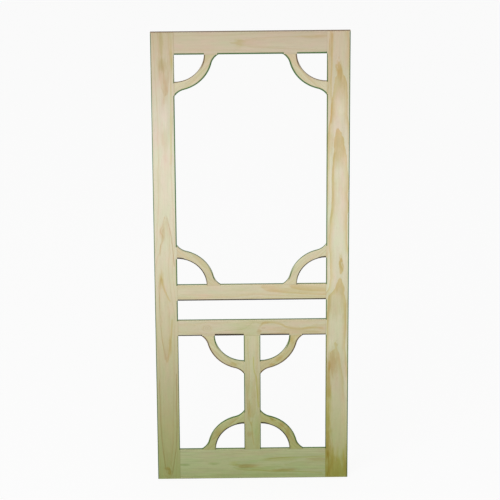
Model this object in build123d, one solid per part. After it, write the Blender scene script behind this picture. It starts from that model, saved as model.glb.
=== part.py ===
# Pine screen-door leaf: two stiles, four rails, a centre mullion and eight curved corner brackets.
# Millimetres. Origin on the hinge edge of the leaf, at its bottom and at mid thickness.
# +X runs across the leaf to the latch edge, +Y to the back, +Z up. The front face looks along -Y.
import os
from collections import namedtuple
from math import acos, atan2, cos, degrees, radians, sin

from build123d import *

inch = 25.4

# The leaf
leaf_height = 80 * inch
leaf_width = 32 * inch
leaf_thickness = 0.75 * inch

# The boards, and the openings that set the places of the rails
stile_width = 3.75 * inch
top_rail_height = 3.75 * inch
mid_rail_height = 2.75 * inch
bottom_rail_height = 5.4375 * inch
mullion_width = 2.75 * inch
slot_height = 3.6875 * inch
lower_panel_height = 21.1875 * inch

# The corner brackets: a quarter ring about the corner, with feet that flare along the boards
bracket_inner_radius = 4.8125 * inch
bracket_band = 1.375 * inch
bracket_flare_radius = 2.5 * inch
bracket_reach = 7.125 * inch
bracket_thickness = 0.75 * inch

# The joints: blind mortise and tenon
tenon_thickness = 0.25 * inch
rail_tenon_length = 1.75 * inch
mullion_tenon_length = 0.75 * inch
tenon_shoulder = 0.375 * inch
end_shoulder = 0.75 * inch
joint_clearance = 0.1
mortise_end_gap = 1.5

# The screen groove round each opening, in the back face
groove_width = 0.15625 * inch
groove_depth = 0.1875 * inch
groove_setback = 0.3125 * inch
groove_corner_radius = 0.25 * inch

# The bevel on every edge that a hand can reach, and how far its cutter starts out in the air
edge_bevel = 0.09375 * inch
overshoot = 0.5

# Places that follow from the sizes above
front = -leaf_thickness / 2
back = leaf_thickness / 2
faces = ((front, Vector(0, 1, 0)), (back, Vector(0, -1, 0)))  # each face, and the way into the wood
rail_start = stile_width
rail_end = leaf_width - stile_width
mullion_left = (leaf_width - mullion_width) / 2
mullion_right = (leaf_width + mullion_width) / 2
panel_bottom = bottom_rail_height
panel_top = panel_bottom + lower_panel_height
slot_bottom = panel_top + mid_rail_height
slot_top = slot_bottom + slot_height
upper_bottom = slot_top + mid_rail_height
upper_top = leaf_height - top_rail_height

# An opening names the boards on its four sides and the corners that hold a bracket
Opening = namedtuple("Opening", "x0 x1 z0 z1 left right below above corners")
lower_left, lower_right, upper_right, upper_left = "lower left", "lower right", "upper right", "upper left"

openings = {
    "upper": Opening(rail_start, rail_end, upper_bottom, upper_top, "left_stile", "right_stile",
                     "upper_mid_rail", "top_rail", (lower_left, lower_right, upper_right, upper_left)),
    "slot": Opening(rail_start, rail_end, slot_bottom, slot_top, "left_stile", "right_stile",
                    "lower_mid_rail", "upper_mid_rail", ()),
    "left_panel": Opening(rail_start, mullion_left, panel_bottom, panel_top, "left_stile", "centre_mullion",
                          "bottom_rail", "lower_mid_rail", (lower_right, upper_right)),
    "right_panel": Opening(mullion_right, rail_end, panel_bottom, panel_top, "centre_mullion", "right_stile",
                           "bottom_rail", "lower_mid_rail", (lower_left, upper_left)),
}

bracket_names = {
    ("upper", upper_left): "upper_left_bracket",
    ("upper", upper_right): "upper_right_bracket",
    ("upper", lower_left): "mid_left_bracket",
    ("upper", lower_right): "mid_right_bracket",
    ("left_panel", upper_right): "mullion_top_left_bracket",
    ("right_panel", upper_left): "mullion_top_right_bracket",
    ("left_panel", lower_right): "mullion_foot_left_bracket",
    ("right_panel", lower_left): "mullion_foot_right_bracket",
}


# A block between two corners, and the same block grown on every side
def block(x0, x1, y0, y1, z0, z1, grow=0):
    size = (x1 - x0 + 2 * grow, y1 - y0 + 2 * grow, z1 - z0 + 2 * grow)
    centre = ((x0 + x1) / 2, (y0 + y1) / 2, (z0 + z1) / 2)
    return Pos(*centre) * Box(*size)


def board(x0, x1, z0, z1):
    return block(x0, x1, front, back, z0, z1)


# What a bevel takes off one straight edge: a three-cornered strip.
# into_board points from the edge into the board, and depth from the face into its thickness.
def bevel_strip(start, end, into_board, depth):
    run = end - start
    plane = Plane(origin=start + run / 2, x_dir=into_board, z_dir=into_board.cross(depth))
    far = edge_bevel + overshoot
    section = make_face(Polyline((-overshoot, -overshoot), (far, -overshoot), (-overshoot, far), close=True))
    return extrude(plane * section, run.length / 2, both=True)


# The stretches of one side of an opening that no bracket foot covers
def free_stretches(start, end, foot_at_start, foot_at_end):
    covered = []
    if foot_at_start:
        covered.append((start + bracket_inner_radius, start + bracket_reach))
    if foot_at_end:
        covered.append((end - bracket_reach, end - bracket_inner_radius))
    free = []
    reached = start
    for foot_start, foot_end in covered:
        free.append((reached, foot_start))
        reached = foot_end
    free.append((reached, end))
    return free


# The edges round an opening are bevelled on both faces, between the feet of the brackets
def bevel_opening(boards, opening):
    sides = [
        (opening.left, "upright", opening.x0, Vector(-1, 0, 0), lower_left, upper_left),
        (opening.right, "upright", opening.x1, Vector(1, 0, 0), lower_right, upper_right),
        (opening.below, "level", opening.z0, Vector(0, 0, -1), lower_left, lower_right),
        (opening.above, "level", opening.z1, Vector(0, 0, 1), upper_left, upper_right),
    ]
    for name, direction, edge, into_board, first_corner, last_corner in sides:
        if direction == "upright":
            start, end = opening.z0, opening.z1
        else:
            start, end = opening.x0, opening.x1
        feet = (first_corner in opening.corners, last_corner in opening.corners)
        for a, b in free_stretches(start, end, *feet):
            for face, depth in faces:
                if direction == "upright":
                    first, last = Vector(edge, face, a), Vector(edge, face, b)
                else:
                    first, last = Vector(a, face, edge), Vector(b, face, edge)
                boards[name] -= bevel_strip(first, last, into_board, depth)


def bevel_outer_edges(boards):
    outer_edges = [("left_stile", 0, Vector(1, 0, 0)), ("right_stile", leaf_width, Vector(-1, 0, 0))]
    for name, edge, into_board in outer_edges:
        for face, depth in faces:
            foot, head = Vector(edge, face, 0), Vector(edge, face, leaf_height)
            boards[name] -= bevel_strip(foot, head, into_board, depth)


# A rail's tenons reach into both stiles, and each stile gets the mortise that they fill
def join_rail(boards, name, z0, z1, shoulder_below, shoulder_above):
    low, high = z0 + shoulder_below, z1 - shoulder_above
    half = tenon_thickness / 2
    rail = board(rail_start, rail_end, z0, z1)
    rail += block(rail_start - rail_tenon_length, rail_end + rail_tenon_length, -half, half, low, high)
    boards[name] = rail
    deep = rail_tenon_length + mortise_end_gap - joint_clearance
    left_mortise = block(rail_start - deep, rail_start, -half, half, low, high, joint_clearance)
    right_mortise = block(rail_end, rail_end + deep, -half, half, low, high, joint_clearance)
    boards["left_stile"] -= left_mortise
    boards["right_stile"] -= right_mortise


# The mullion's stub tenons reach up into the lower mid rail and down into the bottom rail
def join_mullion(boards):
    low, high = mullion_left + tenon_shoulder, mullion_right - tenon_shoulder
    half = tenon_thickness / 2
    tenon_foot, tenon_head = panel_bottom - mullion_tenon_length, panel_top + mullion_tenon_length
    mullion = board(mullion_left, mullion_right, panel_bottom, panel_top)
    mullion += block(low, high, -half, half, tenon_foot, tenon_head)
    boards["centre_mullion"] = mullion
    deep = mullion_tenon_length + mortise_end_gap - joint_clearance
    boards["bottom_rail"] -= block(low, high, -half, half, panel_bottom - deep, panel_bottom, joint_clearance)
    boards["lower_mid_rail"] -= block(low, high, -half, half, panel_top, panel_top + deep, joint_clearance)


# The groove that holds the edge of a screen runs round an opening, set back from its edge
def screen_groove(opening):
    width, height = opening.x1 - opening.x0, opening.z1 - opening.z0
    inner_side, outer_side = 2 * groove_setback, 2 * (groove_setback + groove_width)
    inner = RectangleRounded(width + inner_side, height + inner_side, groove_corner_radius)
    outer = RectangleRounded(width + outer_side, height + outer_side, groove_corner_radius + groove_width)
    centre = ((opening.x0 + opening.x1) / 2, back + overshoot, (opening.z0 + opening.z1) / 2)
    return Pos(*centre) * extrude(Plane.XZ * (outer - inner), groove_depth + overshoot)


def polar(centre, radius, angle):
    return (centre[0] + radius * cos(radians(angle)), centre[1] + radius * sin(radians(angle)))


# The bracket's outline about its corner: foot, flare, outer arc, flare, foot and inner arc.
# Each flare is a hollow arc that touches the outer arc and comes down on the board at the reach.
def bracket_outline():
    inner, outer = bracket_inner_radius, bracket_inner_radius + bracket_band
    flare, reach = bracket_flare_radius, bracket_reach
    to_centre = outer + flare
    lean = degrees(acos((to_centre ** 2 + reach ** 2 - flare ** 2) / (2 * reach * to_centre)))
    centre = polar((0, 0), to_centre, lean)
    touch_angle = lean + 180
    foot_angle = degrees(atan2(-centre[1], reach - centre[0])) + 360
    middle_angle = (touch_angle + foot_angle) / 2
    mirrored = (centre[1], centre[0])
    foot, far_foot = (reach, 0), (0, reach)
    touch = polar((0, 0), outer, lean)
    far_touch = (touch[1], touch[0])
    heel, far_heel = (inner, 0), (0, inner)
    outline = [
        Line(heel, foot),
        ThreePointArc(foot, polar(centre, flare, middle_angle), touch),
        ThreePointArc(touch, polar((0, 0), outer, 45), far_touch),
        ThreePointArc(far_touch, polar(mirrored, flare, 90 - middle_angle), far_foot),
        Line(far_foot, far_heel),
        ThreePointArc(far_heel, polar((0, 0), inner, 45), heel),
    ]
    return make_face(Curve() + outline)


def bracket_solid():
    solid = extrude(Plane.XZ * bracket_outline(), bracket_thickness)
    curved = solid.edges().filter_by(GeomType.CIRCLE)
    return chamfer(curved, edge_bevel)


# A bracket is drawn for the lower left corner. Seen from the front, each next corner takes it a quarter
# turn further round, and it stands flush with the front of the leaf.
def place_bracket(solid, opening, corner):
    quarter_turns = (lower_left, lower_right, upper_right, upper_left).index(corner)
    x = opening.x0 if corner in (lower_left, upper_left) else opening.x1
    z = opening.z0 if corner in (lower_left, lower_right) else opening.z1
    return Pos(x, front + bracket_thickness, z) * Rot(0, -90 * quarter_turns, 0) * solid


boards = {
    "left_stile": board(0, rail_start, 0, leaf_height),
    "right_stile": board(rail_end, leaf_width, 0, leaf_height),
}
join_rail(boards, "top_rail", upper_top, leaf_height, tenon_shoulder, end_shoulder)
join_rail(boards, "upper_mid_rail", slot_top, upper_bottom, tenon_shoulder, tenon_shoulder)
join_rail(boards, "lower_mid_rail", panel_top, slot_bottom, tenon_shoulder, tenon_shoulder)
join_rail(boards, "bottom_rail", 0, bottom_rail_height, end_shoulder, tenon_shoulder)
join_mullion(boards)
bevel_outer_edges(boards)
for opening in openings.values():
    bevel_opening(boards, opening)
    groove = screen_groove(opening)
    for name in boards:
        boards[name] -= groove

bracket = bracket_solid()
brackets = {}
for (opening_name, corner), name in bracket_names.items():
    brackets[name] = place_bracket(bracket, openings[opening_name], corner)

os.makedirs("parts", exist_ok=True)
for name, shape in {**boards, **brackets}.items():
    export_step(shape, f"parts/{name}.step")
    box = shape.bounding_box()
    print(name, "solids", len(shape.solids()), "volume cm3", round(shape.volume / 1000, 1),
          "size", [round(value, 2) for value in box.size])
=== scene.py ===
import math
import bpy
from mathutils import Matrix, Vector


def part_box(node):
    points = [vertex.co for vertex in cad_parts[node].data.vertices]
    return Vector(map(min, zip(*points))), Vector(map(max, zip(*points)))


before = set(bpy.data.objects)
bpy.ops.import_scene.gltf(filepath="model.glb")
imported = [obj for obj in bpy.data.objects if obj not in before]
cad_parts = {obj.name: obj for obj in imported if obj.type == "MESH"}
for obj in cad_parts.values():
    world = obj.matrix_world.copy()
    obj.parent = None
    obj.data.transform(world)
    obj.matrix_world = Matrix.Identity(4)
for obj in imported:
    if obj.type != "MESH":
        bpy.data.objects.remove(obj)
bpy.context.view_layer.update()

print("frame loaded:", len(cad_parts), "boards and brackets")

inch = 0.0254  # the leaf was measured in inches, so places along a board are kept in them


# Colours are written as a paint card would give them, 0 to 255, and used in linear light
def paint(red, green, blue):
    shares = [value / 255 for value in (red, green, blue)]
    linear = [s / 12.92 if s <= 0.04045 else ((s + 0.055) / 1.055) ** 2.4 for s in shares]
    return tuple(linear)


# A wire is one socket of a material, so that shader maths reads like any other maths
class Wire:
    def __init__(self, sheet, socket):
        self.sheet = sheet
        self.socket = socket

    def maths(self, operation, *others, clamp=False):
        inputs = {place: value for place, value in enumerate((self, *others))}
        return self.sheet.node("ShaderNodeMath", {"operation": operation, "use_clamp": clamp}, inputs)

    def __add__(self, other):
        return self.maths("ADD", other)

    def __sub__(self, other):
        return self.maths("SUBTRACT", other)

    def __mul__(self, other):
        return self.maths("MULTIPLY", other)

    def __truediv__(self, other):
        return self.maths("DIVIDE", other)

    def __pow__(self, other):
        return self.maths("POWER", other)

    def __abs__(self):
        return self.maths("ABSOLUTE")

    def __neg__(self):
        return self.maths("MULTIPLY", -1.0)

    def __rsub__(self, other):
        return self.sheet.node("ShaderNodeMath", {"operation": "SUBTRACT"}, {0: other, 1: self})

    def __rtruediv__(self, other):
        return self.sheet.node("ShaderNodeMath", {"operation": "DIVIDE"}, {0: other, 1: self})

    __radd__ = __add__
    __rmul__ = __mul__

    def part(self):
        return self.maths("FRACT")

    def held(self):
        return self.maths("ADD", 0.0, clamp=True)

    # 0 below low, 1 above high and a smooth step between; low may be the larger
    def step(self, low, high):
        share = self.maths("SUBTRACT", low).maths("DIVIDE", high - low, clamp=True)
        return share * share * (3 - 2 * share)


# A sheet is the node tree of one material or of the world
class Sheet:
    def __init__(self, owner, outputKind="ShaderNodeOutputMaterial"):
        self.owner = owner
        self.outputKind = outputKind
        owner.use_nodes = True
        self.tree = owner.node_tree
        self.tree.nodes.clear()

    def feed(self, socket, value):
        if isinstance(value, Wire):
            self.tree.links.new(value.socket, socket)
        else:
            socket.default_value = value

    # Any node: its type, its settings, and the values or wires of its sockets
    def node(self, kind, settings=None, inputs=None, out=0):
        made = self.tree.nodes.new(kind)
        for key, value in (settings or {}).items():
            if key == "stops":
                self.fillRamp(made.color_ramp, value)
            elif key == "curve":
                self.fillCurve(made.mapping, value)
            else:
                setattr(made, key, value)
        for key, value in (inputs or {}).items():
            self.feed(made.inputs[key], value)
        return Wire(self, made.outputs[out])

    def fillRamp(self, ramp, stops):
        while len(ramp.elements) < len(stops):
            ramp.elements.new(1.0)
        for element, (place, colour) in zip(ramp.elements, stops):
            element.position = place
            element.color = colour

    def fillCurve(self, mapping, points):
        curve = mapping.curves[0]
        curve.points[0].location = points[0]
        curve.points[-1].location = points[-1]
        for place, value in points[1:-1]:
            curve.points.new(place, value)
        mapping.update()

    def mix(self, factor, first, second, blend="MIX"):
        settings = {"data_type": "RGBA", "blend_type": blend, "clamp_factor": True}
        return self.node("ShaderNodeMix", settings, {0: factor, 6: first, 7: second}, out=2)

    # A colour with a tint laid over it by a share, as a glaze would be
    def glaze(self, colour, tint, share=1.0):
        return self.mix(share, colour, tint, "MULTIPLY")

    def vector(self, x, y, z):
        return self.node("ShaderNodeCombineXYZ", {}, {0: x, 1: y, 2: z})

    # A smooth line through points of (place, value), read off at a wire
    def lineThrough(self, wire, points):
        points = sorted(points)
        first, last = points[0][0], points[-1][0]
        values = [value for place, value in points]
        low, high = min(values), max(values)
        span = (high - low) or 1.0
        curve = [((place - first) / (last - first), (value - low) / span) for place, value in points]
        share = self.node("ShaderNodeFloatCurve", {"curve": curve}, {"Value": (wire - first) / (last - first)})
        return share * span + low

    def finish(self, shader):
        output = self.tree.nodes.new(self.outputKind)
        self.tree.links.new(shader.socket, output.inputs["Surface"])
        return self.owner


# The viewpoint: in front of the leaf, a long way off and looking down on it
viewpoint = {
    "place": (0.2637, -12.256, 6.429),
    "lens": 231.0,
    "sensor": 36,
    "sight": 200,  # how far the camera sees, in metres
    "lookDown": 23.633,
    "turn": -0.637,
    "tilt": -0.338,
}


def makeCamera():
    data = bpy.data.cameras.new("photoCamera")
    data.lens = viewpoint["lens"]
    data.sensor_width = viewpoint["sensor"]
    data.clip_end = viewpoint["sight"]
    camera = bpy.data.objects.new("photoCamera", data)
    turn = Matrix.Rotation(math.radians(viewpoint["turn"]), 4, "Z")
    lookDown = Matrix.Rotation(math.radians(90 - viewpoint["lookDown"]), 4, "X")
    tilt = Matrix.Rotation(math.radians(viewpoint["tilt"]), 4, "Z")
    camera.matrix_world = Matrix.Translation(viewpoint["place"]) @ turn @ lookDown @ tilt
    bpy.context.scene.collection.objects.link(camera)
    bpy.context.scene.camera = camera


# The studio: white surroundings, one broad soft lamp and a pale floor
studio = {
    "surroundings": 0.62,
    "lampPower": 400,
    "lampSize": 5.0,
    "lampPlace": (-3.0, -6.0, 6.5),
    "lampAim": (0.4, 0.0, 0.9),
    "floorSize": 90,
    "floorColour": (0.86, 0.86, 0.86, 1),
    "backdropColour": (0.985, 0.985, 0.985, 1),
    "shadowShare": 0.08,
}


def seenDirectly(sheet):
    camera = sheet.node("ShaderNodeLightPath", out="Is Camera Ray")
    glossy = sheet.node("ShaderNodeLightPath", out="Is Glossy Ray")
    through = sheet.node("ShaderNodeLightPath", out="Is Transmission Ray")
    return camera.maths("MAXIMUM", glossy).maths("MAXIMUM", through)


def makeFloor():
    sheet = Sheet(bpy.data.materials.new("paleFloor"))
    plain = sheet.node("ShaderNodeBsdfDiffuse", {}, {"Color": studio["floorColour"]})
    white = sheet.node("ShaderNodeEmission", {}, {"Color": studio["backdropColour"], "Strength": 1.0})
    share = seenDirectly(sheet) * (1 - studio["shadowShare"])
    shader = sheet.node("ShaderNodeMixShader", {}, {0: share, 1: plain, 2: white})
    half = studio["floorSize"] / 2
    mesh = bpy.data.meshes.new("floor")
    outline = [(-half, -half, 0), (half, -half, 0), (half, half, 0), (-half, half, 0)]
    mesh.from_pydata(outline, [], [(0, 1, 2, 3)])
    floor = bpy.data.objects.new("floor", mesh)
    mesh.materials.append(sheet.finish(shader))
    bpy.context.scene.collection.objects.link(floor)


def makeWorld():
    world = bpy.data.worlds.new("studio")
    sheet = Sheet(world, "ShaderNodeOutputWorld")
    around = sheet.node("ShaderNodeBackground", {}, {"Color": (1, 1, 1, 1), "Strength": studio["surroundings"]})
    white = sheet.node("ShaderNodeBackground", {}, {"Color": studio["backdropColour"], "Strength": 1.0})
    shader = sheet.node("ShaderNodeMixShader", {}, {0: seenDirectly(sheet), 1: around, 2: white})
    bpy.context.scene.world = sheet.finish(shader)


def makeLamp():
    data = bpy.data.lights.new("softLamp", "AREA")
    data.energy = studio["lampPower"]
    data.size = studio["lampSize"]
    lamp = bpy.data.objects.new("softLamp", data)
    lamp.location = studio["lampPlace"]
    aim = Vector(studio["lampAim"]) - Vector(studio["lampPlace"])
    lamp.rotation_euler = aim.to_track_quat("-Z", "Y").to_euler()
    bpy.context.scene.collection.objects.link(lamp)


makeCamera()
makeFloor()
makeWorld()
makeLamp()
bpy.context.scene.view_settings.view_transform = "Standard"
print("camera, floor and lamp made")


# The pine itself. A board is cut from a log whose heart lies heartDepth behind its front face. ringStep is
# the growth that shows as one broad flame, and each flame has fine rings in it. Lengths are in metres.
# A pair of numbers is a step: where a share is still nothing, and where it is whole.
pine = {
    "ringStep": 0.0070,
    "heartDepth": 0.0910,
    "sway": 0.016,  # how far the heart line strays to its sides
    "wave": 0.0050,  # how far the rings wander in and out
    "tremor": 0.0012,  # and how far they tremble
    "swirlPull": 1.3,  # how many rings a swirl pulls aside
    "lateFrom": 0.25,  # where in a ring the late wood starts to darken
    "lateEnd": (1.0, 0.965),
    "lateLevel": 0.62,  # how dark it usually is; the next two say how far rings and places differ in it
    "lateByRing": 0.4,
    "lateByPlace": 1.2,
    "fineRings": 4,
    "fineFrom": (0.55, 0.97),
    "fineEnd": (1.0, 0.95),
    "fineLevel": 0.6,
    "fineByPlace": 2.0,
    "poreFrom": (0.235, 0.30),
    "poreStrength": 0.35,
    "endGrain": (0.80, 0.95),
    "rosyBy": {"mottle": 2.0, "cloud": 1.0},
    "lighterBy": {"fibre": 0.16, "cloud": 0.06},
    "streakyBy": {"streak": 0.16, "ragged": 0.10},  # lighter and darker too, by the board's own streaky
    "roughness": 0.58,
    "rougherBy": {"fibre": 0.16, "late": -0.08, "streak": 0.08},
    "raisedBy": {"late": 0.5, "fineLate": 0.4, "fibre": 1.2, "streak": 0.5, "pores": -0.8},
    "bumpStrength": 0.35,
    "bumpHeight": 0.00035,
    "specular": 0.25,
}

# Tints are laid over the sapwood and its painted light falloff as glazes, so 1 leaves a colour as it is
tints = {
    "gold": (0.90, 0.80, 0.58, 1),
    "tan": (0.90, 0.80, 0.68, 1),
    "umber": (0.76, 0.62, 0.48, 1),
    "rust": (0.87, 0.70, 0.50, 1),
    "olive": (0.86, 0.84, 0.50, 1),
    "oliveBrown": (0.86, 0.82, 0.66, 1),
    "moss": (0.86, 0.93, 0.78, 1),
    "shade": (0.84, 0.86, 0.80, 1),
    "pink": (1.03, 0.95, 0.97, 1),
    "pale": (1.10, 1.11, 1.16, 1),
    "rosy": (1.055, 0.965, 0.985, 1),
    "greenish": (0.945, 1.02, 0.93, 1),
    "fineStain": (0.92, 0.86, 0.76, 1),
    "pore": (0.62, 0.50, 0.36, 1),
    "endGrain": (0.96, 0.90, 0.86, 1),
    # Rim tints, for painted dark lines along the arrises; laid along an arris that faces down a rim tint is
    # painted shade, and the last of them is laid only there
    "greenRim": (0.11, 0.29, 0.13, 1),
    "grassRim": (0.13, 0.34, 0.06, 1),
    "brownRim": (0.26, 0.19, 0.15, 1),
    "paintedShadeRim": (0.06, 0.045, 0.04, 1),
}

# The patterns in the wood: cycles to the metre across and along the grain, a shift of the board's seed,
# the detail and the roughness of the noise
patterns = {
    "sway": (6, 2.2, 0, 2, 0.5),
    "ripple": (20, 10, 7, 3, 0.55),
    "tremor": (120, 38, 11, 2, 0.5),
    "ragged": (80, 12, 13, 3, 0.6),
    "uneven": (14, 4, 19, 2, 0.5),
    "fibre": (1400, 26, 23, 3, 0.6),
    "streak": (220, 7, 29, 2, 0.5),
    "mottle": (34, 11, 31, 3, 0.6),
    "pore": (900, 45, 37, 0, 0.5),
    "cloud": (9, 3.5, 53, 2, 0.5),
}

# The sapwood colour with painted light falloff: palest where the light is strongest, at two thirds of the
# height, darker at the head, and darker and olive at the foot, where painted green reflected light is laid in
sapwoodAndPaintedFalloff = [
    (0, paint(143, 147, 94)),
    (10, paint(162, 161, 114)),
    (18, paint(179, 173, 136)),
    (26, paint(195, 189, 154)),
    (36, paint(210, 203, 172)),
    (56, paint(224, 216, 192)),
    (66, paint(217, 207, 182)),
    (80, paint(199, 184, 155)),
]

# A bracket is a quarter ring about a corner of an opening, and its feet flare out along the boards
ring = {
    "inner": 4.8125 * inch,
    "outer": 6.1875 * inch,
    "flare": 2.5 * inch,
    "reach": 7.125 * inch,
}

# Which way each bracket's corner lies from it: left or right, then down or up
corners = {
    "upper_left_bracket": (-1, 1),
    "upper_right_bracket": (1, 1),
    "mid_left_bracket": (-1, -1),
    "mid_right_bracket": (1, -1),
    "mullion_top_left_bracket": (1, 1),
    "mullion_top_right_bracket": (-1, 1),
    "mullion_foot_left_bracket": (1, -1),
    "mullion_foot_right_bracket": (-1, -1),
}


def hypotenuse(first, second):
    return (first * first + second * second) ** 0.5


# A tint that changes along a wire, given by a few places in inches
def tintAlong(sheet, wire, places):
    first, last = places[0][0], places[-1][0]
    stops = [((place - first) / (last - first), (*colour, 1.0)) for place, colour in places]
    return sheet.node("ShaderNodeValToRGB", {"stops": stops}, {"Fac": (wire / inch - first) / (last - first)})


# A strength is one number for the whole board, or a smooth line through a few places along it
def strengthAlong(sheet, grain, strength):
    return sheet.lineThrough(grain["inches"], strength) if isinstance(strength, list) else strength


# Patterns added up, each by its own strength
def added(strengths, wires):
    return sum(wires[name] * strength for name, strength in strengths.items())


def grainPattern(sheet, grain, seed, pattern):
    across, along, shift, detail, roughness = pattern
    aside = grain["across"] * across + (seed + shift)
    place = sheet.vector(aside, grain["depth"] * across, grain["along"] * along)
    inputs = {"Vector": place, "Scale": 1.0, "Detail": detail, "Roughness": roughness}
    return sheet.node("ShaderNodeTexNoise", {"noise_dimensions": "3D"}, inputs) - 0.5


# Directions in a board: along its grain, across its face and into its depth from the front.
# A rail or stile keeps the leaf's own places. A bracket is turned about its middle.
def grainDirections(sheet, board):
    place = sheet.node("ShaderNodeTexCoord", out="Object")
    x, y, z = (sheet.node("ShaderNodeSeparateXYZ", {}, {0: place}, out=axis) for axis in range(3))
    normal = sheet.node("ShaderNodeNewGeometry", out="True Normal")
    forward = -sheet.node("ShaderNodeSeparateXYZ", {}, {0: normal}, out=1)
    upward = sheet.node("ShaderNodeSeparateXYZ", {}, {0: normal}, out=2)
    low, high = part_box(board["node"])
    angle = math.radians(board["angle"])
    if board["angle"] == 90:
        along, across = z, x
    elif board["angle"] == 0:
        along, across = x, z
    else:
        middle = (low + high) / 2
        right, up = x - middle.x, z - middle.z
        along = right * math.cos(angle) + up * math.sin(angle)
        across = up * math.cos(angle) - right * math.sin(angle)
    return {"along": along, "inches": along / inch, "across": across, "depth": y - low.y, "x": x, "z": z,
            "angle": angle, "normal": normal, "forward": forward, "upward": upward, "low": low, "high": high}


def endGrainShare(sheet, grain):
    direction = (math.cos(grain["angle"]), 0.0, math.sin(grain["angle"]))
    inputs = {0: grain["normal"], 1: direction}
    facing = sheet.node("ShaderNodeVectorMath", {"operation": "DOT_PRODUCT"}, inputs, out="Value")
    return abs(facing).step(*pine["endGrain"])


# Thin dark lines are painted along the arrises; where an arris faces down its line is painted shade. A board's
# own rims multiply their width.
rim = {
    "width": 0.0050,
    "core": 0.55,  # the share of its width over which a line is whole
    "facesFront": (0.45, 0.60),
    "facesBack": (0.45, 0.20),  # or at least not to the front
    "facesUp": (0.15, 0.45),
    "depth": 0.0100,  # how far the line on a surface that faces up comes forward from the back
    "soft": 0.002,
    "fadeUp": (0.65, 0.25),  # a curved line fades where its edge turns to face up
    "fadeAtFoot": (0.35, -0.5),  # so does the inner arc of a bracket that stands on a rail, at that foot
    "crown": (-0.95, -0.995),  # and it is wider where its edge faces straight down, where the painted shade is deepest
    "crownWider": 0.6,
    "touch": 0.001,  # how near a piece is to an edge that it covers, and how far it reaches past that edge
    "past": 0.005,
    "thinTip": 0.2 * inch,  # the tip of a bracket's foot is too thin to break the board's line
}


# The stretches of a straight edge that other pieces stand against; side is 1 for the upper or right edge.
# A bracket stands there on its foot alone, the end of its box that is away from its corner.
def coveredStretches(board, side):
    low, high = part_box(board["node"])
    lineAt, alongAt = (0, 2) if board["angle"] == 90 else (2, 0)
    edge = (high if side > 0 else low)[lineAt]
    foot = ring["reach"] - ring["inner"]
    stretches = []
    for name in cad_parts:
        otherLow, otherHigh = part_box(name)
        beyond = (otherHigh[lineAt] - edge) if side > 0 else (edge - otherLow[lineAt])
        short = (otherLow[lineAt] - edge) if side > 0 else (edge - otherHigh[lineAt])
        if name == board["node"] or beyond < rim["past"] or short > rim["touch"]:
            continue
        start, end = otherLow[alongAt], otherHigh[alongAt]
        if name in corners:
            if corners[name][alongAt // 2] < 0:
                start, end = end - foot, end - rim["thinTip"]
            else:
                start, end = start + rim["thinTip"], start + foot
        stretches.append((start, end))
    return sorted(stretches)


# 1 along the open stretches of an edge and 0 where another piece covers it
def openShare(grain, board, side):
    share = 1.0
    for start, end in coveredStretches(board, side):
        before = grain["along"].maths("LESS_THAN", start)
        share = before.maths("MAXIMUM", grain["along"].maths("GREATER_THAN", end)) * share
    return share


# 1 at an edge, fading out at a width from it
def nearEdge(distance, width):
    return (distance / width).step(1.0, rim["core"])


# Straight arrises: from the front, a rail shows its line on the lower one alone, as painted shade, and an
# upright on both.
# The widths come from places along the board.
def straightRims(sheet, grain, board):
    low, high = grain["low"], grain["high"]
    if board["angle"] == 90:
        leftWidth, rightWidth = (strengthAlong(sheet, grain, width) * rim["width"] for width in board["rims"])
        left = nearEdge(grain["across"] - low.x, leftWidth) * openShare(grain, board, -1)
        right = nearEdge(high.x - grain["across"], rightWidth) * openShare(grain, board, 1)
        return [("greenRim", left.maths("MAXIMUM", right))]
    # The line under a rail's lower arris is painted shade
    width = strengthAlong(sheet, grain, board["rims"]) * rim["width"]
    under = nearEdge(grain["across"] - low.z, width) * openShare(grain, board, -1)
    return [(board.get("underRim", "paintedShadeRim"), under)]


def cornerPlace(grain, board):
    signX, signZ = corners[board["node"]]
    low, high = grain["low"], grain["high"]
    return (high.x if signX > 0 else low.x), (high.z if signZ > 0 else low.z)


# Curved arrises: the inner arc, the outer arc between the flares and the two flares
def curvedRims(sheet, grain, board):
    signX, signZ = corners[board["node"]]
    cornerX, cornerZ = cornerPlace(grain, board)
    fromX, fromZ = (cornerX - grain["x"]) * signX, (cornerZ - grain["z"]) * signZ
    radius = hypotenuse(fromX, fromZ)
    rising = fromZ / radius * signZ  # how far up the inner arc faces; the outer arc faces the other way
    innerWidth, outerWidth = (rim["width"] * share for share in board["rims"])
    innerWidth = innerWidth * (1 + rising.step(*rim["crown"]) * rim["crownWider"])
    inner = nearEdge(radius - ring["inner"], innerWidth)
    inner = inner * rising.step(*(rim["fadeUp"] if signZ > 0 else rim["fadeAtFoot"]))
    toFlare = ring["outer"] + ring["flare"]
    flareFar = (toFlare ** 2 - ring["flare"] ** 2 + ring["reach"] ** 2) / (2 * ring["reach"])
    flareNear = (toFlare ** 2 - flareFar ** 2) ** 0.5
    touching = flareNear * ring["outer"] / toFlare
    band = fromX.step(touching - rim["soft"], touching) * fromZ.step(touching - rim["soft"], touching)
    outer = nearEdge(ring["outer"] - radius, outerWidth) * band * (-rising).step(*rim["fadeUp"])
    for centreX, centreZ in ((flareFar, flareNear), (flareNear, flareFar)):
        asideX, asideZ = fromX - centreX, fromZ - centreZ
        fromFlare = hypotenuse(asideX, asideZ)
        flareRising = asideZ / fromFlare * signZ
        flare = nearEdge(fromFlare - ring["flare"], outerWidth) * flareRising.step(*rim["fadeUp"])
        outer = outer.maths("MAXIMUM", flare)
    # The line along the curve that faces down is painted shade
    upRim, underRim = board.get("upRim", "greenRim"), board.get("underRim", "paintedShadeRim")
    return [(upRim, inner), (underRim, outer)] if signZ > 0 else [(underRim, inner), (upRim, outer)]
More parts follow.
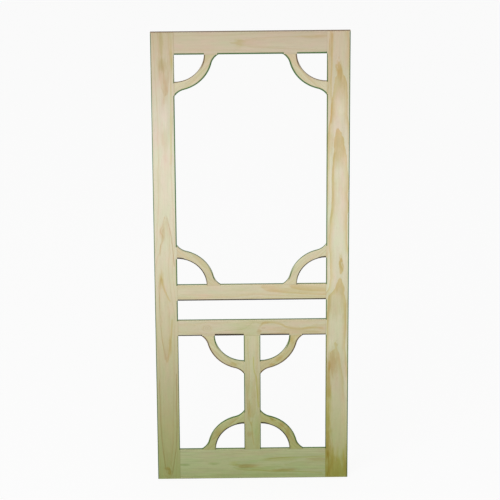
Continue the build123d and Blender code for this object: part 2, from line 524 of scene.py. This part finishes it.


# A painted dark line along the front arrises that face sideways or down, painted shade where they face down,
# and one along the back of every surface that faces up
def arrisTint(sheet, grain, board, colour):
    thickness = grain["high"].y - grain["low"].y
    start = thickness - board.get("rimDepth", rim["depth"])
    backEdge = grain["depth"].step(start - rim["soft"], start)
    ledge = backEdge * grain["upward"].step(*rim["facesUp"]) * grain["forward"].step(*rim["facesBack"])
    colour = sheet.glaze(colour, tints[board.get("upRim", "greenRim")], ledge)
    front = grain["forward"].step(*rim["facesFront"])
    rims = curvedRims if board["node"] in corners else straightRims
    for tint, share in rims(sheet, grain, board):
        colour = sheet.glaze(colour, tints[tint], front * share)
    return colour


# Marks on a face: patches of other wood, eyes round small knots, seams along the grain and the hairlines
# of joints. By says how far each pattern pushes a mark about, and Core is the share that is whole.
marks = {
    "patchEdge": (1.45, 0.25),
    "patchBy": {"ripple": 1.2, "ragged": 2.4},
    "eyeEdge": (1.6, 0.9),
    "eyeRagged": 0.9,
    "eyeRings": 2.0,
    "eyeRingFrom": (0.3, 0.7),
    "eyeRingEnd": (1.0, 0.8),
    "seamBy": {"ripple": 0.008, "ragged": 0.004},
    "seamCore": 0.2,
    "seamFade": 0.6 * inch,
    "seamLevel": 0.8,
    "seamRagged": 2.4,
    "jointWidth": 0.0012,
    "jointCore": 0.3,
    "jointStrength": 0.45,
    "jointFront": (0.90, 0.98),
}


# How far a point is from a place on the face, in half widths and half heights of the place
def fromPlace(grain, x, z, halfWidth, halfHeight):
    fromX = (grain["x"] - x * inch) / (halfWidth * inch)
    fromZ = (grain["z"] - z * inch) / (halfHeight * inch)
    return hypotenuse(fromX, fromZ)


# A patch, where the wood differs
def patchShare(grain, noise, place):
    return (fromPlace(grain, *place) + added(marks["patchBy"], noise)).step(*marks["patchEdge"])


# The rings round a small knot
def eyeShare(grain, noise, place):
    reach = fromPlace(grain, *place) + noise["ragged"] * marks["eyeRagged"]
    band = (reach * marks["eyeRings"] + noise["tremor"]).part()
    return band.step(*marks["eyeRingFrom"]) * band.step(*marks["eyeRingEnd"]) * reach.step(*marks["eyeEdge"])


# A line of resin or late wood along the grain, on a route through places of (along, across)
def seamShare(sheet, grain, noise, width, route):
    line = sheet.lineThrough(grain["inches"], route) * inch
    aside = abs(grain["across"] - line + added(marks["seamBy"], noise))
    start, end, fade = route[0][0] * inch, route[-1][0] * inch, marks["seamFade"]
    within = grain["along"].step(start, start + fade) * grain["along"].step(end, end - fade)
    level = (marks["seamLevel"] + noise["ragged"] * marks["seamRagged"]).held()
    return aside.step(width * inch, width * inch * marks["seamCore"]) * within * level


# A hairline where one piece meets the next: at the ends of a rail or mullion and at a bracket's feet
def jointTint(sheet, grain, board, colour):
    places = [(axis, place * inch) for axis, place in board.get("joints", [])]
    if board["node"] in corners:
        places = list(zip(("x", "z"), cornerPlace(grain, board)))
    width = marks["jointWidth"]
    lines = [abs(grain[axis] - place).step(width, width * marks["jointCore"]) for axis, place in places]
    if not lines:
        return colour
    share = lines[0].maths("MAXIMUM", lines[1]) * grain["forward"].step(*marks["jointFront"])
    return sheet.glaze(colour, tints["brownRim"], share * marks["jointStrength"])


# How many rings lie between a point and the heart, pushed about a little so that no line is straight
def ringCount(sheet, grain, noise, board):
    wander = board["wander"]
    heart = sheet.lineThrough(grain["inches"], board["heart"]) * inch
    cut = sheet.lineThrough(grain["inches"], board["rings"]) * pine["ringStep"]
    aside = grain["across"] - heart + noise["sway"] * pine["sway"] * wander
    distance = board.get("heartDepth", pine["heartDepth"]) - grain["depth"] - cut
    distance = distance + noise["ripple"] * pine["wave"] * wander + noise["tremor"] * pine["tremor"]
    for x, z, size in board.get("swirls", []):
        pull = 1 / (1 + fromPlace(grain, x, z, size, size) ** 4.0)
        distance = distance - pull * pine["ringStep"] * pine["swirlPull"]
    return hypotenuse(aside, distance) / pine["ringStep"]


# Late wood darkens towards the outside of a ring and stops short at the next, and no two rings are as
# dark. The fine rings in it do the same.
def lateWood(sheet, grain, noise, board, rings):
    place = rings.part()
    ownNumber = {"W": rings.maths("FLOOR") + board["seed"]}
    ringMark = sheet.node("ShaderNodeTexWhiteNoise", {"noise_dimensions": "1D"}, ownNumber)
    level = pine["lateLevel"] + ringMark * pine["lateByRing"] + noise["uneven"] * pine["lateByPlace"]
    late = place.step(board.get("lateFrom", pine["lateFrom"]), 1.0) * place.step(*pine["lateEnd"])
    late = late * level.held() * strengthAlong(sheet, grain, board["figure"])
    fine = (rings * pine["fineRings"]).part()
    fineLevel = pine["fineLevel"] + noise["uneven"] * pine["fineByPlace"]
    fineLate = fine.step(*pine["fineFrom"]) * fine.step(*pine["fineEnd"]) * fineLevel.held() * board["fine"]
    return late, fineLate


# The colour is built up in glazes: sapwood with its painted light falloff, the board's own tint, late wood,
# marks, fibres, joint hairlines and painted dark lines along the arrises, which are painted shade where they
# face down
def woodColour(sheet, grain, noise, board):
    colour = sheet.glaze(tintAlong(sheet, grain["z"], sapwoodAndPaintedFalloff), tintAlong(sheet, grain["along"], board["tint"]))
    rosy = (added(pine["rosyBy"], noise) + 0.5).held()
    colour = sheet.glaze(colour, sheet.mix(rosy, tints["rosy"], tints["greenish"]))
    colour = sheet.glaze(colour, tints[board.get("lateTint", "gold")], noise["late"])
    colour = sheet.glaze(colour, tints["fineStain"], noise["fineLate"])
    for *place, tint, strength in board.get("patches", []):
        colour = sheet.glaze(colour, tints[tint], patchShare(grain, noise, place) * strength)
    for *place, tint, strength in board.get("eyes", []):
        colour = sheet.glaze(colour, tints[tint], eyeShare(grain, noise, place) * strength)
    for tint, strength, width, route in board.get("seams", []):
        colour = sheet.glaze(colour, tints[tint], seamShare(sheet, grain, noise, width, route) * strength)
    streaks = added(pine["streakyBy"], noise) * board.get("streaky", 1.0)
    light = 1 + added(pine["lighterBy"], noise) + streaks
    colour = sheet.glaze(colour, sheet.vector(light, light, light))
    colour = sheet.glaze(colour, tints["pore"], noise["pores"] * pine["poreStrength"])
    colour = sheet.glaze(colour, tints["endGrain"], endGrainShare(sheet, grain))
    colour = jointTint(sheet, grain, board, colour)
    return arrisTint(sheet, grain, board, colour)


def pineMaterial(board):
    sheet = Sheet(bpy.data.materials.new("pine_" + board["node"]))
    grain = grainDirections(sheet, board)
    seed = board["seed"]
    noise = {name: grainPattern(sheet, grain, seed, pattern) for name, pattern in patterns.items()}
    rings = ringCount(sheet, grain, noise, board)
    noise["late"], noise["fineLate"] = lateWood(sheet, grain, noise, board, rings)
    noise["pores"] = noise["pore"].step(*pine["poreFrom"])
    relief = {"Height": added(pine["raisedBy"], noise), "Strength": pine["bumpStrength"],
              "Distance": pine["bumpHeight"]}
    shader = sheet.node("ShaderNodeBsdfPrincipled", {}, {
        "Base Color": woodColour(sheet, grain, noise, board),
        "Roughness": (pine["roughness"] + added(pine["rougherBy"], noise)).held(),
        "Normal": sheet.node("ShaderNodeBump", {}, relief),
        "Specular IOR Level": pine["specular"],
    })
    return sheet.finish(shader)


# Each board, with its places in inches on the leaf: z along an upright, x along a rail. It may say:
# - angle: the way the grain runs, in degrees from level
# - rings: (place, how many rings are cut through at the heart line); a flame points to where this count
#   passes a whole number. heart is the route of that line: (along, across)
# - figure, fine, wander and streaky: how strong the flames, fine rings, bends and streaks are
# - heartDepth and lateFrom: its own value in place of the pine's
# - tint: (place, colour laid over the sapwood and its painted light falloff); lateTint is the tint of the
#   flames
# - rims: how wide the painted dark lines along the arrises are, left and right on an upright, along the lower
#   edge on a rail, and on the inner and outer curves of a bracket; upRim and underRim are tints, of the lines
#   that face up and of the painted shade lines that face down, and rimDepth is its own value in place of the
#   rim's depth
# - patches and eyes: (x, z, half width, half height, tint, strength); swirls: (x, z, size)
# - seams: (tint, strength, width, route); joints: where the board meets the next ones
railJoints = [("x", 3.75), ("x", 28.25)]
leftStile = {
    "node": "left_stile", "angle": 90, "seed": 3.1, "figure": 0.6, "fine": 0.16, "wander": 0.9,
    "lateTint": "tan", "lateFrom": 0.62, "upRim": "brownRim",
    "rims": ([(0, 0.8), (80, 0.75)], [(0, 0.6), (25, 0.7), (30, 1.1), (70, 1.15), (74, 0.5), (80, 0.5)]),
    "tint": [(0, (0.99, 1.05, 1.02)), (12, (0.97, 1.01, 1.01)), (24, (0.94, 0.935, 0.93)),
             (44, (0.955, 0.96, 1.0)), (56, (0.93, 0.95, 0.97)), (66, (0.92, 0.94, 1.0)),
             (80, (0.85, 0.86, 0.85))],
    "rings": [(0, 1.0), (1.5, 1.09), (4, 1.27), (8, 1.6), (12, 1.73), (17, 1.86), (21.5, 2.0), (25, 2.2),
              (30, 2.42), (34, 2.3), (37.8, 2.0), (41, 1.62), (45, 1.22), (48.2, 1.0), (52, 0.85),
              (57, 0.75), (63, 0.85), (67, 1.0), (70, 1.14), (74, 1.4), (80, 1.55)],
    "heart": [(0, 1.8), (12, 1.8), (21.5, 1.8), (30, 1.7), (37.8, 1.2), (42, 1.8), (48.2, 2.05), (57, 2.0),
              (67, 2.2), (80, 1.9)],
    "patches": [
        (1.75, 77.6, 0.35, 3.0, "oliveBrown", 0.9), (1.9, 74.6, 0.9, 1.2, "oliveBrown", 0.6),
        (3.3, 76.5, 0.3, 2.2, "olive", 0.7), (1.5, 72.5, 0.8, 1.8, "pink", 0.7),
        (2.2, 72.6, 0.8, 2.6, "tan", 0.4), (2.2, 69.9, 0.42, 2.4, "tan", 0.7),
        (2.1, 61.6, 0.6, 2.6, "tan", 0.4), (1.4, 62.0, 0.6, 2.5, "pink", 0.7),
        (2.2, 64.6, 0.6, 1.6, "pale", 0.3), (2.3, 57.0, 0.7, 2.6, "pink", 0.8),
        (2.9, 64.0, 0.5, 2.6, "moss", 0.35), (0.9, 55.0, 0.5, 3.0, "moss", 0.3),
        (1.4, 45.3, 0.45, 1.3, "tan", 0.7), (1.1, 36.9, 0.35, 1.6, "gold", 0.8),
        (2.45, 24.8, 0.3, 2.0, "gold", 0.7), (1.75, 22.5, 0.5, 1.5, "pink", 0.7),
        (1.5, 1.95, 0.45, 0.3, "gold", 1.0), (1.95, 1.2, 0.25, 0.6, "gold", 1.0),
        (1.9, 9.0, 0.9, 6.0, "pink", 0.7),
    ],
    "seams": [
        ("umber", 0.7, 0.14, [(1.4, 1.35), (4, 1.05), (8, 0.7), (12, 0.55), (19, 0.45)]),
        ("umber", 0.9, 0.14, [(0.4, 2.2), (3, 2.75), (8, 3.2), (14, 3.3), (20, 3.35)]),
        ("umber", 0.8, 0.13, [(39, 3.3), (42, 3.15), (44, 2.9), (46, 2.6), (47.8, 2.25), (48.6, 2.05)]),
        ("tan", 1.0, 0.16, [(41, 0.95), (43, 1.1), (44.4, 1.5), (45.6, 1.1), (46.4, 1.4), (47.6, 1.7),
                            (48.6, 2.0)]),
        ("gold", 0.9, 0.22, [(32.6, 2.7), (34, 2.0), (35.5, 1.5), (37.9, 1.05)]),
        ("umber", 0.6, 0.13, [(21.6, 1.85), (22.8, 1.6), (25, 1.2), (28, 0.9), (31, 0.75), (34, 0.8),
                              (37.5, 1.0)]),
        ("gold", 0.9, 0.24, [(21.6, 1.85), (23, 2.1), (25, 2.4), (27, 2.65), (30, 2.85)]),
        ("olive", 0.6, 0.2, [(57, 2.9), (62, 3.1), (70, 3.2), (76, 3.4)]),
    ],
    "eyes": [(1.75, 1.5, 0.5, 0.55, "rust", 0.5)],
    "swirls": [(1.8, 1.4, 0.6)],
}
rightStile = {
    "node": "right_stile", "angle": 90, "seed": 11.7, "fine": 0.14, "wander": 1.0, "upRim": "brownRim",
    "heartDepth": 0.154,
    "rims": ([(0, 0.75), (26, 0.85), (40, 1.0), (72, 1.0), (76, 0.8), (80, 0.8)], [(0, 0.95), (80, 0.95)]),
    "figure": [(0, 0.35), (12, 0.45), (18, 0.75), (24, 1.0), (60, 1.1), (80, 1.0)],
    "tint": [(0, (1.1, 1.09, 1.0)), (7, (1.2, 1.18, 1.36)), (14, (1.18, 1.17, 1.36)),
             (20, (1.07, 1.05, 1.14)), (26, (1.05, 1.06, 1.16)), (34, (0.98, 1.0, 1.04)),
             (44, (1.0, 1.02, 1.08)), (56, (0.93, 0.95, 0.96)), (72, (0.89, 0.9, 0.89)),
             (80, (0.94, 0.96, 1.0))],
    "rings": [(0, 5.1), (10, 4.85), (16, 4.72), (20.4, 4.5), (22.7, 4.32), (23.6, 4.15), (24.3, 3.97),
              (27, 3.92), (31, 3.86), (33.2, 3.72), (34.3, 3.42), (35.4, 3.2), (36.5, 3.03), (37.1, 2.93),
              (37.8, 2.97), (39.5, 3.04), (41.4, 2.96), (44.5, 2.78), (47, 2.68), (50, 2.6), (54.5, 2.62),
              (57.5, 2.5), (59.5, 2.32), (62, 2.14), (63.6, 2.02), (64.6, 1.85), (66.4, 1.58), (69, 1.42),
              (71.4, 1.33), (73, 1.12), (74.8, 1.02), (75.8, 0.93), (80, 0.8)],
    "heart": [(0, 30.2), (17, 30.1), (22.7, 29.85), (28, 30.0), (33.2, 30.05), (34.6, 30.45), (36.5, 30.65),
              (40, 30.65), (44, 30.2), (50, 30.4), (57, 30.5), (63.6, 30.35), (71, 30.4), (75, 30.2),
              (80, 30.2)],
    "patches": [
        (30.2, 73.3, 0.45, 1.6, "gold", 1.0), (30.5, 71.2, 0.6, 1.2, "oliveBrown", 0.6),
        (30.2, 69.0, 0.7, 1.5, "pink", 0.6), (30.3, 66.6, 0.9, 1.7, "pale", 0.9),
        (28.9, 61.5, 0.5, 3.0, "gold", 0.5), (30.4, 59.6, 0.9, 2.8, "oliveBrown", 0.6),
        (30.7, 51.0, 0.8, 4.0, "pink", 0.6), (30.7, 39.4, 0.35, 1.7, "oliveBrown", 1.0),
        (28.9, 37.2, 0.8, 2.4, "pale", 1.0), (30.5, 35.2, 0.6, 1.0, "oliveBrown", 0.5),
        (30.0, 32.0, 1.6, 2.4, "oliveBrown", 0.6), (28.6, 31.5, 0.4, 2.0, "oliveBrown", 0.8),
        (31.5, 30.0, 0.4, 3.0, "gold", 0.4), (28.7, 25.0, 0.6, 1.6, "pale", 1.0),
        (31.5, 23.5, 0.4, 2.0, "pale", 0.8), (29.6, 21.4, 0.9, 2.4, "tan", 1.0),
        (31.8, 18.4, 0.5, 4.0, "pale", 1.0), (31.9, 18.0, 0.35, 3.5, "pale", 1.0),
        (28.5, 12.0, 0.65, 11.0, "olive", 1.0), (28.6, 7.5, 0.5, 5.0, "gold", 0.6),
        (31.5, 11.0, 0.5, 6.0, "pale", 0.9), (30.2, 1.6, 2.8, 3.4, "olive", 1.0),
        (30.2, 1.4, 2.8, 2.6, "gold", 0.25), (29.0, 3.6, 0.7, 3.4, "gold", 0.9),
        (28.6, 18.0, 0.5, 4.0, "tan", 0.7), (28.5, 6.5, 0.5, 3.0, "gold", 0.6),
        (31.7, 3.0, 0.3, 3.0, "gold", 0.5),
    ],
    "seams": [
        ("gold", 0.9, 0.26, [(64, 28.85), (67, 29.0), (70, 28.9), (75, 29.0), (80, 29.15)]),
        ("oliveBrown", 0.9, 0.34, [(40.5, 28.4), (44.5, 28.65), (47, 28.85), (48.5, 29.15), (50, 29.3),
                                   (54.5, 29.25), (57.5, 29.35), (59.5, 29.7)]),
    ],
}
topRail = {
    "node": "top_rail", "angle": 0, "seed": 23.3, "figure": 0.55, "fine": 0.16, "wander": 0.8,
    "lateFrom": 0.55, "lateTint": "oliveBrown", "upRim": "brownRim", "underRim": "greenRim",
    "rims": [(4, 1.8), (8, 1.8), (24, 1.9), (28, 2.1)],
    "tint": [(0, (0.9, 0.91, 0.965)), (32, (0.885, 0.9, 0.955))],
    "rings": [(3, 0.84), (8, 0.93), (13.0, 0.99), (13.8, 1.05), (15, 1.2), (17, 1.38), (20, 1.6),
              (28, 1.95), (32, 2.0)],
    "heart": [(0, 78.2), (13.4, 78.3), (20, 78.15), (28, 78.0), (32, 78.0)],
    "patches": [
        (18.0, 78.2, 3.5, 0.5, "pink", 0.4), (8.0, 77.4, 3.0, 0.6, "pink", 0.5),
        (14.2, 78.2, 0.8, 0.8, "olive", 0.35), (26.5, 79.2, 2.4, 0.4, "olive", 0.4),
    ],
    "joints": railJoints,
}
upperMidRail = {
    "node": "upper_mid_rail", "angle": 0, "seed": 31.9, "figure": 0.7, "fine": 0.16, "wander": 0.9,
    "rims": [(4, 1.75), (12, 1.6), (20, 1.6), (28, 1.7)],
    "tint": [(0, (0.95, 0.925, 0.975)), (16, (0.95, 0.94, 0.965)), (32, (0.965, 0.94, 0.9))],
    "rings": [(3, 0.7), (10, 0.85), (17.2, 0.96), (17.6, 1.04), (18.2, 1.25), (20.7, 1.75), (24, 2.3),
              (28, 2.75), (32, 2.95)],
    "heart": [(3, 34.6), (12, 34.9), (17.9, 35.4), (24, 35.6), (32, 35.6)],
    "patches": [
        (7.5, 34.2, 3.0, 0.3, "pink", 0.9), (14.0, 34.9, 2.0, 0.5, "moss", 0.4),
        (24.5, 34.9, 5.4, 0.9, "gold", 0.5), (19.8, 35.3, 1.6, 0.4, "gold", 0.4),
    ],
    "seams": [
        ("rust", 0.45, 0.07, [(4, 34.3), (8, 34.1), (12, 34.2), (15, 34.0)]),
        ("umber", 0.3, 0.07, [(5, 35.1), (9, 35.2), (12, 35.0)]),
    ],
    "joints": railJoints,
}
lowerMidRail = {
    "node": "lower_mid_rail", "angle": 0, "seed": 43.3, "figure": 0.4, "fine": 0.18, "wander": 1.5,
    "rims": [(4, 1.4), (9, 1.5), (10, 2.4), (14.5, 2.2), (17.5, 1.9), (22, 1.8), (23, 1.5), (28, 1.45)],
    "tint": [(0, (0.97, 0.985, 1.06)), (14, (0.985, 0.975, 1.04)), (20, (0.975, 0.965, 1.02)),
             (32, (1.0, 0.985, 1.07))],
    "rings": [(3, 0.3), (8, 0.6), (16, 0.9), (24, 1.2), (32, 1.5)],
    "heart": [(3, 28.4), (16, 27.9), (32, 28.1)],
    "patches": [
        (15.0, 28.0, 2.2, 1.6, "moss", 0.8), (19.2, 27.8, 1.8, 0.8, "pink", 1.0),
        (24.5, 28.9, 3.4, 0.5, "pink", 0.7), (24.5, 27.1, 3.8, 0.5, "gold", 0.5),
        (18.0, 28.9, 1.0, 0.3, "gold", 0.5), (17.2, 27.3, 0.4, 0.6, "tan", 0.9),
    ],
    "seams": [
        ("gold", 0.9, 0.34, [(17.0, 27.5), (17.4, 28.4), (18.8, 29.05), (20.3, 28.85), (21.1, 28.5),
                             (22.2, 27.95), (23.8, 27.8), (25.9, 28.0), (28.2, 27.7)]),
        ("umber", 0.7, 0.12, [(17.3, 27.05), (19, 26.95), (22, 27.0)]),
        ("moss", 0.9, 0.16, [(11, 27.6), (13, 27.7), (14.6, 27.9), (15.5, 28.5), (16.4, 29.2)]),
    ],
    "eyes": [(8.5, 28.1, 0.75, 0.42, "umber", 0.45), (17.9, 28.0, 0.3, 0.18, "umber", 0.7)],
    "swirls": [(8.5, 28.1, 0.7)],
    "joints": railJoints,
}
bottomRail = {
    "node": "bottom_rail", "angle": 0, "seed": 57.1, "figure": 0.6, "fine": 0.36, "wander": 1.0,
    "streaky": 2.4, "lateTint": "moss", "upRim": "grassRim", "rimDepth": 0.0105,
    "rims": [(0, 0.25), (32, 0.25)],
    "tint": [(0, (1.21, 1.27, 1.64)), (16, (1.2, 1.25, 1.58)), (32, (1.21, 1.25, 1.58))],
    "rings": [(3, 0.75), (12.5, 1.0), (13.4, 1.2), (20, 1.8), (26, 2.4), (32, 2.6)],
    "heart": [(0, 2.7), (13, 2.6), (32, 2.3)],
    "patches": [
        (14.6, 2.3, 2.2, 0.36, "rust", 0.9), (20.8, 1.4, 2.6, 0.3, "rust", 0.8),
        (26.8, 3.45, 2.0, 0.45, "rust", 0.5), (4.4, 2.65, 0.9, 0.15, "shade", 1.0),
        (9.4, 2.75, 1.0, 0.17, "shade", 1.0), (12.9, 2.0, 0.35, 0.14, "shade", 1.0),
        (15.9, 2.6, 1.8, 0.14, "shade", 0.5), (24.0, 1.7, 2.6, 0.16, "shade", 0.5),
        (7.4, 3.3, 2.4, 0.12, "shade", 0.4), (12.8, 2.75, 0.9, 0.5, "olive", 0.6),
        (20.5, 3.6, 3.0, 0.4, "olive", 0.5), (15.0, 4.8, 5.0, 0.5, "pink", 0.9),
        (9.3, 2.8, 1.0, 0.22, "moss", 1.0), (4.2, 2.6, 0.9, 0.16, "moss", 1.0),
        (17.0, 1.8, 4.0, 0.7, "olive", 0.35), (16.0, 0.5, 14.0, 0.4, "moss", 0.7),
    ],
    "seams": [
        ("olive", 0.7, 0.18, [(12.8, 2.0), (14.5, 1.6), (17, 1.45), (20, 1.2), (23, 1.2), (28, 0.8)]),
        ("shade", 0.7, 0.09, [(3.5, 4.6), (5.5, 4.3), (7, 4.05), (10, 4.2), (14, 4.7), (17, 4.8)]),
        ("shade", 0.7, 0.1, [(12.8, 1.9), (14, 1.65), (17, 1.5), (19.5, 1.25), (22, 1.2), (24, 1.3)]),
        ("shade", 0.6, 0.09, [(18.4, 3.55), (20.5, 3.75), (22.5, 3.95), (25, 4.1), (28.4, 4.45)]),
        ("shade", 0.5, 0.09, [(4, 0.75), (8, 0.9), (12, 0.7), (20, 0.6), (28, 0.35)]),
        ("olive", 0.7, 0.14, [(18, 3.5), (21, 3.8), (24, 3.85), (28.5, 4.1)]),
    ],
    "joints": railJoints,
}
centreMullion = {
    "node": "centre_mullion", "angle": 90, "seed": 67.7, "figure": 0.5, "fine": 0.16, "wander": 1.8,
    "rims": ([(4, 0.8), (28, 0.95)], [(4, 0.75), (28, 0.85)]),
    "tint": [(4, (1.08, 1.09, 1.18)), (14, (1.05, 1.11, 1.18)), (20, (1.03, 1.08, 1.13)),
             (28, (0.985, 1.03, 1.03))],
    "rings": [(4, 0.6), (9, 1.0), (16, 1.4), (22, 1.8), (28, 1.5)],
    "heart": [(4, 16.2), (12, 15.8), (28, 16.1)],
    "patches": [
        (15.2, 17.0, 0.35, 3.0, "tan", 0.5), (16.9, 16.5, 0.3, 2.8, "olive", 0.5),
        (16.7, 8.5, 0.35, 3.5, "moss", 0.7), (15.6, 8.4, 0.5, 0.6, "tan", 0.9),
        (15.5, 12.5, 0.4, 1.6, "gold", 0.5), (16.1, 15.5, 0.4, 2.6, "pink", 0.6),
    ],
    "seams": [
        ("olive", 0.9, 0.18, [(13, 17.0), (16, 16.85), (18.6, 16.7), (20.3, 16.3), (23, 16.2)]),
        ("gold", 0.6, 0.18, [(17, 15.4), (20.3, 15.5), (24.4, 15.3), (26.5, 15.4)]),
        ("gold", 0.8, 0.16, [(6, 16.3), (8, 16.0), (9.8, 15.9), (11.9, 15.35), (13.4, 15.5), (15, 15.3)]),
    ],
    "joints": [("z", 5.4375), ("z", 26.625)],
}
boards = [leftStile, rightStile, topRail, upperMidRail, lowerMidRail, bottomRail, centreMullion]

# A bracket's grain runs along its chord, from one foot to the other, and its places along the grain are
# inches from its middle. All brackets come from similar wood, cut a little further out at one foot.
bracketWood = {
    "half": 6,
    "moreRings": 0.7,
    "heart": (0.8, 1.2),
    "figure": 0.5,
    "fine": 0.26,
    "wander": 1.2,
    "streaky": 1.7,
}


def bracketBoard(node, seed, rings, tint, rims, **more):
    signX, signZ = corners[node]
    half, heart = bracketWood["half"], bracketWood["heart"]
    return {
        "node": node, "angle": -45 * signX * signZ, "seed": seed, "rims": rims,
        "tint": [(-half, tint), (half, tint)],
        "rings": [(-half, rings), (half, rings + bracketWood["moreRings"])],
        "heart": [(-half, heart[0]), (half, heart[1])],
        "figure": bracketWood["figure"], "fine": bracketWood["fine"],
        "wander": bracketWood["wander"], "streaky": bracketWood["streaky"],
        **more,
    }


brackets = [
    bracketBoard("upper_left_bracket", 71.3, 0.6, (0.90, 0.94, 0.90), (1.15, 1.7),
                 upRim="brownRim", underRim="greenRim"),
    bracketBoard("upper_right_bracket", 75.9, 1.3, (0.93, 0.94, 0.92), (1.25, 1.75),
                 upRim="brownRim", underRim="greenRim"),
    bracketBoard("mid_left_bracket", 79.1, 0.9, (0.88, 0.86, 0.83), (1.15, 0.95),
                 patches=[(10.0, 38.2, 0.35, 1.4, "tan", 0.6)]),
    bracketBoard("mid_right_bracket", 83.7, 0.4, (0.91, 0.93, 0.90), (1.15, 0.95)),
    bracketBoard("mullion_top_left_bracket", 89.3, 1.1, (1.03, 1.04, 1.05), (1.1, 1.5), underRim="brownRim",
                 patches=[(13.0, 21.4, 0.8, 0.35, "gold", 0.8)]),
    bracketBoard("mullion_top_right_bracket", 93.1, 0.7, (0.98, 0.97, 0.89), (1.3, 1.5), underRim="brownRim",
                 patches=[(22.6, 25.6, 0.5, 0.9, "gold", 0.8), (20.4, 22.3, 0.9, 0.7, "gold", 0.8),
                          (19.3, 21.3, 0.7, 0.3, "rust", 0.8)]),
    bracketBoard("mullion_foot_left_bracket", 97.9, 0.2, (1.06, 1.11, 1.11), (1.35, 1.05),
                 upRim="grassRim", rimDepth=0.0150,
                 patches=[(10.2, 8.6, 0.5, 1.2, "gold", 0.6)],
                 seams=[("rust", 0.7, 0.22, [(-2.8, 0.15), (-1.5, 0.1), (0.3, 0.0), (1.2, 0.1)]),
                        ("rust", 0.6, 0.20, [(1.3, 0.1), (2.4, 0.0), (3.8, -0.2)])]),
    bracketBoard("mullion_foot_right_bracket", 101.3, 1.5, (1.03, 1.06, 0.95), (1.3, 1.1),
                 upRim="grassRim", rimDepth=0.0150,
                 patches=[(19.3, 11.1, 0.45, 0.5, "olive", 0.9), (20.8, 10.0, 0.5, 0.6, "rust", 0.7),
                          (21.9, 8.4, 0.35, 1.2, "rust", 0.6)],
                 seams=[("umber", 0.9, 0.14, [(-3.4, 0.1), (-2.9, 0.3), (-2.2, 0.5), (-1.7, 0.6)]),
                        ("rust", 0.6, 0.14, [(-1.9, 0.45), (-1.0, 0.6), (1.1, 0.36), (3.2, -0.4)])]),
]

for board in boards + brackets:
    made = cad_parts[board["node"]]
    made.data.materials.clear()
    made.data.materials.append(pineMaterial(board))
print("pine laid on", len(boards), "boards and", len(brackets), "brackets")
